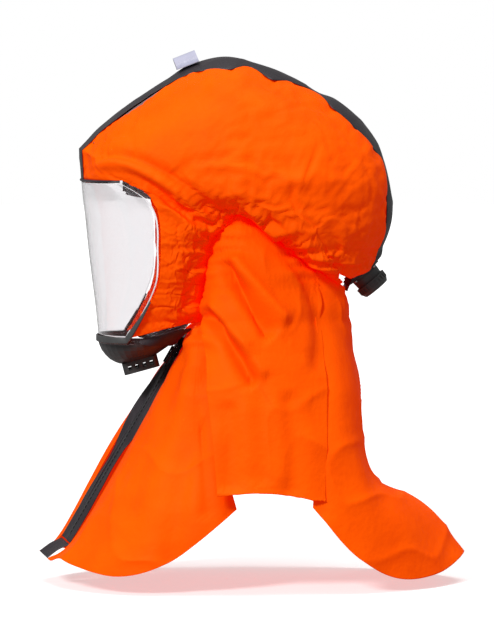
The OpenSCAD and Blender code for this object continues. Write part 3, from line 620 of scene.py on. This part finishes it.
def gathered(points, side, reach=1.0):
    """Height of the neck seam's pleats and groove at points brought to the left side."""
    near, _, _ = nearest_on(points, GATHER)
    z = points[:, 2] + 0.0030 * field(points, 0.03, 3 + side) + 0.004 * (1 - side)
    calm = 1 - 0.9 * np.exp(-(((points[:, 1] - 0.050) / 0.018) ** 2))
    fine = wave(z, 0.0078, 11) * np.exp(-((near / 0.017) ** 2)) * 0.0048
    middle = wave(z, 0.0165, 12) * np.exp(-((near / (0.030 * reach)) ** 2)) * 0.0085
    broad = wave(z, 0.034, 13) * np.exp(-((near / (0.060 * reach)) ** 2)) * 0.0070
    groove = -0.0075 * np.exp(-((near / 0.0050) ** 2))
    puff = 0.0045 * np.exp(-(((near - 0.028) / 0.016) ** 2))
    return calm * (fine + middle + broad) + groove + puff


# Folds on the (y, z) plane, for the hood's side and then the panels below: knots, width, depth
# and lean
SIDE_FOLDS = [
    (
        [(-0.135, 0.036), (-0.105, 0.040), (-0.070, 0.027), (-0.035, 0.004), (-0.002, -0.022)],
        (0.010, 0.007), 0.0065, 0.8,
    ),
    (
        [(-0.110, 0.024), (-0.080, 0.012), (-0.050, -0.012), (-0.020, -0.030), (0.006, -0.029)],
        (0.007, 0.006), 0.0050, 0.7,
    ),
    ([(-0.072, -0.004), (-0.050, -0.016), (-0.028, -0.034), (-0.010, -0.048)], (0.006, 0.007), 0.0050, 0.6),
    ([(-0.052, 0.006), (-0.030, -0.010), (-0.008, -0.024), (0.012, -0.026)], (0.005, 0.005), 0.0035, 0.4),
    ([(-0.046, -0.055), (-0.025, -0.057), (-0.006, -0.060)], (0.004, 0.006), 0.0035, 0.5),
    ([(-0.034, -0.084), (-0.020, -0.077), (-0.006, -0.071)], (0.005, 0.006), 0.0030, 0.5),
    ([(-0.052, -0.130), (-0.036, -0.122), (-0.022, -0.114)], (0.006, 0.007), 0.0040, 0.5),
    ([(0.030, -0.004), (0.042, -0.020), (0.054, -0.034), (0.066, -0.046)], (0.007, 0.006), 0.0060, 0.5),
    ([(0.068, -0.050), (0.085, -0.051), (0.100, -0.049)], (0.004, 0.005), 0.0030, 0.5),
    ([(0.080, -0.060), (0.100, -0.064), (0.124, -0.066)], (0.004, 0.006), 0.0030, 0.5),
    ([(0.092, -0.072), (0.110, -0.075), (0.128, -0.078)], (0.004, 0.005), 0.0028, 0.5),
    ([(0.060, 0.090), (0.085, 0.070), (0.110, 0.040), (0.125, 0.010)], (0.016, 0.020), 0.0025, 0.4),
    ([(-0.020, 0.118), (0.010, 0.104), (0.045, 0.092), (0.075, 0.080)], (0.014, 0.020), 0.0028, -0.5),
    ([(0.020, 0.060), (0.022, 0.030), (0.020, 0.000)], (0.010, 0.012), 0.0020, 0.2),
    ([(0.060, 0.010), (0.095, 0.016), (0.130, 0.010)], (0.012, 0.014), 0.0022, -0.4),
    ([(0.110, -0.010), (0.130, -0.030), (0.138, -0.060)], (0.010, 0.010), 0.0022, 0.4),
]
SHOULDER_FOLDS = [
    ([(0.004, -0.062), (0.020, -0.086), (0.040, -0.112), (0.064, -0.142)], (0.012, 0.015), 0.0150, 0.75),
    ([(-0.018, -0.112), (0.000, -0.136), (0.020, -0.162), (0.040, -0.195)], (0.010, 0.014), 0.0120, 0.7),
    ([(0.060, -0.060), (0.085, -0.085), (0.100, -0.130), (0.096, -0.190)], (0.010, 0.016), 0.0045, -0.5),
    ([(0.030, -0.150), (0.045, -0.200), (0.050, -0.260), (0.046, -0.310)], (0.016, 0.022), 0.0040, 0.3),
    ([(0.010, -0.210), (0.014, -0.260), (0.012, -0.312)], (0.014, 0.018), 0.0035, 0.4),
    ([(0.075, -0.200), (0.080, -0.260), (0.078, -0.318)], (0.014, 0.018), 0.0040, 0.4),
]
BIB_FOLDS = [
    ([(-0.030, -0.150), (-0.050, -0.210), (-0.080, -0.280), (-0.100, -0.350)], (0.014, 0.022), 0.0045, 0.5),
    (
        [(-0.024, -0.180), (-0.034, -0.250), (-0.050, -0.320), (-0.060, -0.400)],
        (0.014, 0.020), 0.0045, -0.4,
    ),
    ([(-0.070, -0.230), (-0.100, -0.290), (-0.126, -0.340)], (0.010, 0.014), 0.0028, 0.5),
    ([(-0.016, -0.230), (-0.014, -0.290), (-0.010, -0.340)], (0.010, 0.014), 0.0050, 0.4),
]
FOLD_WIDTH = 0.8  # scales the tables' widths
FOLD_DEPTH = 1.5  # scales the tables' depths


def folds(points, table):
    """Height of all a table's folds."""
    return sum(
        fold(points, np.array(knots), FOLD_WIDTH * np.array(width), FOLD_DEPTH * depth, lean)
        for knots, width, depth, lean in table
    )


def crumple(points, size, seed):
    """Soft billows and a few crisp creases."""
    soft = field(points, 0.075, seed) * 0.0022 + field(points, 0.030, seed + 1) * 0.0008
    ridge = 1 - np.abs(field(points, 0.055, seed + 2))
    crisp = np.clip(ridge, 0, 1) ** 6 * 0.0016
    return size * (soft + crisp)


# ------------------------------------------------------------------ cloth pieces


DOME_ROWS, DOME_COLUMNS = 11 * NAPE + 1, 66
SEAM_ROWS = 11 * EAR + 1  # of the dome, where the cheek joins it
CHEEK_ROWS = 112
CHEEK_EASE = 28  # rows over which the cheek's shape meets the dome's edge


def joined_side(side):
    """Dome and cheek as one cloth. Also gives which points are on its border, the dome's share of
    that border, and the line where the two join."""
    top = dome_grid(DOME_ROWS, DOME_COLUMNS, side)
    joint = top[:SEAM_ROWS, -1].copy()
    low = resample(CHEEK, CHEEK_ROWS, SEAM_ROWS)
    fade = 1 - smoothstep(np.arange(CHEEK_ROWS), 0, CHEEK_EASE)
    low = low + (joint - low[0])[None] * fade[:, None, None]
    dome, cheek = Cloth(top), Cloth(low)
    cheek.faces = cheek.faces[:, ::-1]
    own = np.arange(SEAM_ROWS) * DOME_COLUMNS + DOME_COLUMNS - 1
    dome.join(cheek, own, np.arange(SEAM_ROWS))
    border = np.zeros(len(dome.points), bool)
    first_cheek = DOME_ROWS * DOME_COLUMNS
    index = np.arange(first_cheek).reshape(DOME_ROWS, DOME_COLUMNS)
    for line in (index[0], index[-1], index[:, 0], index[SEAM_ROWS:, -1]):
        border[line] = True
    dome_edge = dome.points[border]
    index = np.arange(first_cheek, len(dome.points)).reshape(CHEEK_ROWS - 1, SEAM_ROWS)
    for line in (index[:, 0], index[:, -1], index[-1]):
        border[line] = True
    return dome, border, dome_edge, joint


FREE_HOLD = 0.15  # how firmly the simulation holds the points off the border
LEAST_GROWTH = 0.12  # as a share of the growth at the gathered seam
MOST_GROWTH = 0.16


def side_cloth(side):
    """Dome and cheek, settled and folded. side is 1 on the wearer's left, -1 on the right."""
    dome, border, dome_edge, joint = joined_side(side)
    near, _, _ = nearest_on(dome.points, joint)
    dome.smooth(np.exp(-((near / 0.028) ** 2)) * (~border), 260)
    normal = dome.normals()
    gather, _, _ = nearest_on(dome.points, GATHER)
    growth = LEAST_GROWTH + (1 - LEAST_GROWTH) * np.exp(-((gather / 0.045) ** 2))
    settle(dome, np.where(border, 1.0, FREE_HOLD), growth, MOST_GROWTH)
    p = dome.points
    shift = np.zeros(3) if side > 0 else np.array([0, 0.009, -0.006])
    lift = folds(p + shift, SIDE_FOLDS) * (1.0 if side > 0 else 0.8) + crumple(p, 1.0, 5 * side)
    edge, _, _ = nearest_on(p, dome_edge)
    free = np.maximum(smoothstep(edge, 0.0, 0.020), smoothstep(0.03 - gather, 0, 0.02))
    ridge = np.exp(-(((p[:, 1] + 0.075) / 0.030) ** 2)) * np.exp(-((edge / 0.012) ** 2))
    lift = lift * free + 0.0045 * ridge * (p[:, 2] > 0.05)
    p += normal * lift[:, None]
    p += out_of(p) * gathered(p, side)[:, None]
    return dome


def snap(cloth, edge, line, start, end, reach):
    """Moves a cloth's edge onto a line where it is nearer than start, not at all beyond end, and
    draws the cloth within reach of the edge along with it."""
    p = cloth.points
    line = even_line(line, 3000)
    gap = np.linalg.norm(p[edge][:, None] - line[None], axis=2)
    k = np.interp(np.arange(len(edge)), np.arange(0, len(edge), 6), gap.argmin(1)[::6])
    pull = (line[k.astype(int)] - p[edge]) * (1 - smoothstep(gap.min(1), start, end))[:, None]
    near = np.linalg.norm(p[:, None] - p[edge][None], axis=2)
    j = near.argmin(1)
    p += pull[j] * (1 - smoothstep(near.min(1), 0, reach))[:, None]


def lower_cloth(
    grid, rows, columns, table, side, seed, lap=None, tucks=(0, 0), rise=0.008, pleats=1.0, zipped=False
):
    """A panel of the cape, hanging from the gathered seam. tucks are how far its two side edges
    go under or over the next panel, rise how far its hem is drawn up, and pleats the strength of
    the seam's pleats. Beside a zip the cloth stays flat."""
    cloth = Cloth(resample(grid, rows, columns))
    sign = 1 if grid[:, :, 0].mean() > -0.001 else -1
    cloth.points *= np.array([sign, 1.0, 1.0])
    p = cloth.points
    index = np.arange(rows * columns).reshape(rows, columns)
    snap(cloth, index[0], GATHER, 0.022, 0.034, 0.05)
    if lap is not None:
        snap(cloth, index[:, -1], lap, 0.03, 0.05, 0.03)
    for line, depth in ((index[:, 0], tucks[0]), (index[:, -1], tucks[1])):
        edge, _, _ = nearest_on(p, p[line].copy())
        p += out_of(p) * (depth * np.exp(-((edge / 0.015) ** 2)))[:, None]
    still = np.ones(len(p))
    if zipped:
        zip_edge, _, _ = nearest_on(p, p[index[:, -1]].copy())
        still = smoothstep(zip_edge, 0.004, 0.05)
    p[:, 2] += rise * smoothstep(-p[:, 2], 0.20, 0.40) * still
    top, _, _ = nearest_on(p, p[index[0]].copy())
    normal = cloth.normals()
    normal *= np.sign((normal * out_of(p)).sum(1).mean())
    lift = folds(p, table) + crumple(p, 1.2, seed)
    p += normal * (lift * still * smoothstep(top, 0.0, 0.03))[:, None]
    p += out_of(p) * (pleats * gathered(p, side, 1.3))[:, None]
    cloth.points = p * np.array([sign, 1.0, 1.0])
    return cloth


def settle(cloth, hold, growth, most, frames=28, bending=0.006):
    """Lets a cloth buckle into wrinkles: it grows, by up to the share most where growth is 1,
    while hold keeps each point near its place, wholly where it is 1."""
    scene = bpy.context.scene
    mesh = bpy.data.meshes.new("settling")
    mesh.from_pydata([tuple(p) for p in cloth.points], [], cloth.faces.tolist())
    o = bpy.data.objects.new("settling", mesh)
    scene.collection.objects.link(o)
    for name, weights in (("hold", hold), ("firmness", 1 - growth)):
        group = o.vertex_groups.new(name=name)
        for k, w in enumerate(weights):
            group.add([k], float(w), "REPLACE")
    modifier = o.modifiers.new("settle", "CLOTH")
    fabric = modifier.settings
    fabric.quality = 6
    fabric.mass = 0.15
    fabric.tension_stiffness = fabric.compression_stiffness = 20
    fabric.shear_stiffness = 5
    fabric.bending_stiffness = bending
    fabric.air_damping = 2
    fabric.vertex_group_mass = "hold"
    fabric.vertex_group_shrink = "firmness"
    fabric.shrink_min, fabric.shrink_max = -most, 0
    fabric.effector_weights.gravity = 0.1
    modifier.collision_settings.use_collision = False
    modifier.point_cache.frame_start, modifier.point_cache.frame_end = 1, frames
    for frame_number in range(1, frames + 1):
        scene.frame_set(frame_number)
    settled = o.evaluated_get(bpy.context.evaluated_depsgraph_get()).data
    moved = np.zeros(len(cloth.points) * 3, np.float32)
    settled.vertices.foreach_get("co", moved)
    cloth.points = moved.reshape(-1, 3).astype(float)
    bpy.data.objects.remove(o)
    bpy.data.meshes.remove(mesh)
    scene.frame_set(1)


def finished(o, nodes):
    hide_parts(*nodes)
    return o


ORANGE = PALETTE["fabric_orange"]
# Where the shoulder's rear edge lies on the back panel
LAP = catmull(BACK[:, 1], np.linspace(0, len(BACK) - 1, 120)) - np.array([0.0015, 0.0, 0.0])
for side, name in ((1, "left"), (-1, "right")):
    cloth = side_cloth(side)
    if side < 0:
        cloth.points = mirrored(cloth.points)
    o = cloth.build(f"hood_side_{name}", ORANGE, "fabric_orange", flip=side > 0)
    finished(o, [f"dome_panel_{name}", f"cheek_panel_{name}"])
    grid = SHOULDER if side > 0 else mirrored(SHOULDER)
    cloth = lower_cloth(grid, 96, 150, SHOULDER_FOLDS, side, 20 + side, LAP, (0.002, 0), 0.006)
    o = cloth.build(f"shoulder_{name}", ORANGE, "fabric_orange", flip=side < 0)
    finished(o, [f"shoulder_panel_{name}"])
    grid = cad_grid(f"bib_panel_{name}", (0, -1, 1), (side, 1, 0))
    grid = grid.swapaxes(0, 1)
    tucks = (-0.014, 0)
    cloth = lower_cloth(grid, 120, 84, BIB_FOLDS, side, 30 + side, None, tucks, 0.013, zipped=True)
    o = cloth.build(f"bib_{name}", ORANGE, "fabric_orange", flip=side > 0)
    finished(o, [f"bib_panel_{name}"])

cloth = lower_cloth(BACK, 120, 150, [], 1, 40, None, (-0.005, -0.005), 0.009, 0.35)
o = cloth.build("cape_back", ORANGE, "fabric_orange", flip=False)
finished(o, ["cape_back_panel"])

# ------------------------------------------------------------------ crown strip, lens and trim

INLET = next(m for m in frame["record"]["mounts"] if m["name"] == "hose_inlet")
INLET_AXIS = np.array(INLET["axis"], float)
INLET_SEAT = np.array(INLET["pos_m"], float) - 0.007 * INLET_AXIS
GROMMET_HOLE_R = 0.0212
CASING_DEPTH = 0.0085  # of the tape behind the gathered seam
ELASTIC_DEPTH = 0.013
BLACK = PALETTE["fabric_black"]


def around_inlet(points):
    """Distance from the inlet's axis, and height along it above the flange's seat. The distance
    is large at the hood's other end, which the axis also passes."""
    step = points - INLET_SEAT
    height = step @ INLET_AXIS
    radius = np.linalg.norm(step - height[:, None] * INLET_AXIS, axis=1)
    return radius + 10 * (np.abs(height) > 0.03), height


def crown_strip():
    rows, columns = 260, 45
    t = np.linspace(0, NAPE - 0.1, rows)
    across = np.linspace(-1, 1, columns)
    half = np.where(across[None] > 0, strip_half(t, 1)[:, None], strip_half(t, -1)[:, None])
    x = half * across[None]
    arch = strip_value(t, 2)[:, None] * (1 - across[None] ** 2)
    tt = np.repeat(t, columns)
    lift = (arch + 0.0010).ravel()
    points = crown_points(tt, x.ravel()) + crown_out(tt) * lift[:, None]
    points = points.reshape(rows, columns, 3)
    tail = points[-1] * np.array([0.9, 0, 0]) + np.array([0, 0.1375, -0.1025])
    share = np.linspace(0, 1, 10)[1:, None, None]
    points = np.vstack([points, points[-1] + (tail - points[-1]) * share])
    tt = np.concatenate([tt, np.full(9 * columns, tt[-1])])
    cloth = Cloth(points)
    p = cloth.points
    p += crown_out(tt) * (crumple(p, 0.7, 50) * 0.6)[:, None]
    radius, height = around_inlet(p)
    flat = 1 - smoothstep(radius, 0.024, 0.036)
    p += INLET_AXIS * ((0.0007 - height) * flat)[:, None]
    hole = GROMMET_HOLE_R
    step = p - INLET_SEAT
    level = step - (step @ INLET_AXIS)[:, None] * INLET_AXIS
    near = (radius < hole + 0.001) & (radius > hole - 0.003)
    p[near] += (unit(level) * (hole - radius)[:, None])[near]
    centre = cloth.points[cloth.faces].mean(1)
    inside, _ = around_inlet(centre)
    cloth.faces = cloth.faces[inside > hole - 0.0006]
    o = cloth.build("crown_strip", BLACK, "fabric_black", flip=True)
    return finished(o, ["crown_duct_cover"])


def neck_cord():
    """The elastic in the gathered seam, behind the cloth."""
    left = GATHER[::2] - out_of(GATHER[::2]) * ELASTIC_DEPTH
    path = catmull(np.vstack([left, mirrored(left)[::-1][1:]]), np.linspace(0, 2 * len(left) - 2, 420))
    points, faces = sweep(path, rounded(0.0014, 0.0060, 0.0006), (0, 0, 1))
    elastic = PALETTE["elastic_black"]
    o = mesh_piece("neck_elastic_band", points, faces, elastic)
    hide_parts("neck_elastic")


def neck_casing():
    """The cloth tape behind the gathered seam, which the elastic runs in."""
    left = even_line(GATHER, 200)
    left = left - out_of(left) * CASING_DEPTH
    path = np.vstack([left, mirrored(left)[::-1][1:]])
    points, faces = sweep(path, rounded(0.034, 0.0009, 0.0004), out_of(path))
    o = mesh_piece("neck_casing", points, faces, ORANGE)


def lens():
    cloth = Cloth(resample(LENS, 60, 91))
    o = cloth.build("visor_shell", PALETTE["lens_clear"], "lens_clear", thickness=0.001, flip=True)
    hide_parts("visor_lens")


def tapered(path, profile, up, size):
    """A sweep whose profile is scaled by size at each point of the path."""
    points, faces = sweep(path, profile, up)
    middle = np.repeat(np.asarray(path), len(profile), axis=0)
    return middle + (points - middle) * np.repeat(size, len(profile))[:, None], faces


def chin_rim():
    edge = catmull(LENS, np.linspace(9.2, 12, 16))
    path = np.vstack([edge[:-1, 0], LENS[12], edge[::-1][1:, -1]])
    path = even_line(catmull(path, np.linspace(0, len(path) - 1, 260)), 130)
    path = path + out_of(path) * 0.0013 - np.array([0, 0, 0.0032])
    last = len(path) - 1
    at = np.minimum(np.arange(last + 1), last - np.arange(last + 1)) / 26
    size = 0.35 + 0.65 * smoothstep(at)
    points, faces = tapered(path, rounded(0.0026, 0.0070, 0.0010), (0, 0, 1), size)
    o = mesh_piece("chin_bumper", points, faces, PALETTE["plastic_grey"])
    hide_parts("chin_rim")


def brow_welt():
    path = catmull(LENS[0], np.linspace(0, 18, 91)) + np.array([0, -0.0005, 0.0018])
    points, faces = sweep(path, rounded(0.0026, 0.0026, 0.0012), (0, 0, 1))
    o = mesh_piece("brow_welt", points, faces, BLACK)
    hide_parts("brow_binding")


def strip_piece(node_name, name, first, second, size, seed, widen=1.0):
    grid = resample(cad_grid(node_name, first, second), *size)
    centre = grid.mean(1, keepdims=True)
    cloth = Cloth(centre + (grid - centre) * widen)
    normal = cloth.normals()
    cloth.points += normal * (crumple(cloth.points, 0.45, seed))[:, None]
    slot = SLOT_OF[node_name]
    out = np.array([0, -1.0, -0.3]) if node_name.startswith("zip") else out_of(cloth.points)
    flip = (normal * out).sum(1).mean() < 0
    o = cloth.build(name, BLACK, slot, thickness=0.0011, flip=bool(flip))
    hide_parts(node_name)
    return o


def gusset():
    cloth = Cloth(resample(GUSSET, 30, 140))
    normal = cloth.normals()
    flip = normal[:, 2].mean() > 0
    cloth.points += normal * (crumple(cloth.points, 0.7, 61))[:, None]
    o = cloth.build("chin_gusset_cloth", BLACK, "fabric_black", flip=bool(flip))
    finished(o, ["chin_gusset"])


crown_strip()
neck_cord()
neck_casing()
lens()
chin_rim()
brow_welt()
gusset()
for side, name in ((1, "left"), (-1, "right")):
    facing, strip = f"zip_facing_{name}", f"front_strip_{name}"
    o = strip_piece(facing, strip, (-side, 0, 1), (side, 0, 0), (140, 9), 70 + side, 1.25)
o = strip_piece("zip_garage", "front_strip_toe", (-1, 0, 1), (1, 0, 0), (24, 24), 75)
strip_piece("duct_liner", "duct_floor", (1, -1, 0), (-1, -1, 0), (200, 60), 80)

# ------------------------------------------------------------------ stage, lights and camera


def stage():
    base = CAD_BOX[0].z - 0.003
    at = np.linspace(-14, 14, 15)
    grid = np.stack([np.stack([at, np.full(15, y), np.full(15, base)], axis=1) for y in at])
    level = Cloth(grid)
    floor = bpy.data.meshes.new("studio_floor")
    floor.from_pydata([tuple(p) for p in level.points], [], level.faces.tolist())
    white = new_material("studio_white", (0.6, 0.6, 0.6), 0.9, Emission_Strength=0.5)
    white.node_tree.nodes["Principled BSDF"].inputs["Emission Color"].default_value = (1, 1, 1, 1)
    floor.materials.append(white)
    o = bpy.data.objects.new("studio_floor", floor)
    bpy.context.scene.collection.objects.link(o)
    o.visible_diffuse = o.visible_glossy = False


def sun(name, way, strength, spread):
    """A far soft light that shines from the direction way."""
    data = bpy.data.lights.new(name, "SUN")
    data.energy, data.angle = strength, math.radians(spread)
    o = bpy.data.objects.new(name, data)
    o.rotation_mode = "QUATERNION"
    o.rotation_quaternion = Vector(way).to_track_quat("Z", "Y")
    bpy.context.scene.collection.objects.link(o)


def camera(azimuth, elevation):
    """The photograph's view. tall is the height that fills the frame, in metres."""
    aim, distance, tall = Vector((0.0, 0.0324, -0.1274)), 5.0, 0.676
    a, e = math.radians(azimuth), math.radians(elevation)
    back = Vector((math.sin(a) * math.cos(e), -math.cos(a) * math.cos(e), math.sin(e)))
    data = bpy.data.cameras.new("camera")
    data.sensor_width, data.lens = 36, 36 * distance / tall
    o = bpy.data.objects.new("camera", data)
    o.location = aim + back * distance
    o.rotation_mode = "QUATERNION"
    o.rotation_quaternion = back.to_track_quat("Z", "Y")
    bpy.context.scene.collection.objects.link(o)
    bpy.context.scene.camera = o


def studio_light():
    """White to the eye, straight or through the lens, and dimmer as a light."""
    world = bpy.data.worlds.new("studio")
    world.use_nodes = True
    tree = world.node_tree
    ray = tree.nodes.new("ShaderNodeLightPath")
    seen = tree.nodes.new("ShaderNodeMath")
    seen.operation = "MAXIMUM"
    span = tree.nodes.new("ShaderNodeMapRange")
    span.inputs["To Min"].default_value = 0.30
    background = tree.nodes["Background"]
    background.inputs["Color"].default_value = (1, 1, 1, 1)
    tree.links.new(seen.inputs[0], ray.outputs["Is Camera Ray"])
    tree.links.new(seen.inputs[1], ray.outputs["Is Transmission Ray"])
    tree.links.new(span.inputs["Value"], seen.outputs["Value"])
    tree.links.new(background.inputs["Strength"], span.outputs["Result"])
    bpy.context.scene.world = world


stage()
studio_light()
sun("key", (1.3, -0.75, 1.0), 2.9, 12)
sun("top", (0.1, 0.1, 1.5), 1.9, 30)
camera(87.5, 3)
bpy.context.scene.view_settings.view_transform = "Standard"

for name, o in NODES.items():
    if not o.hide_render:
        o.material_slots[0].material = PALETTE[SLOT_OF[name]]
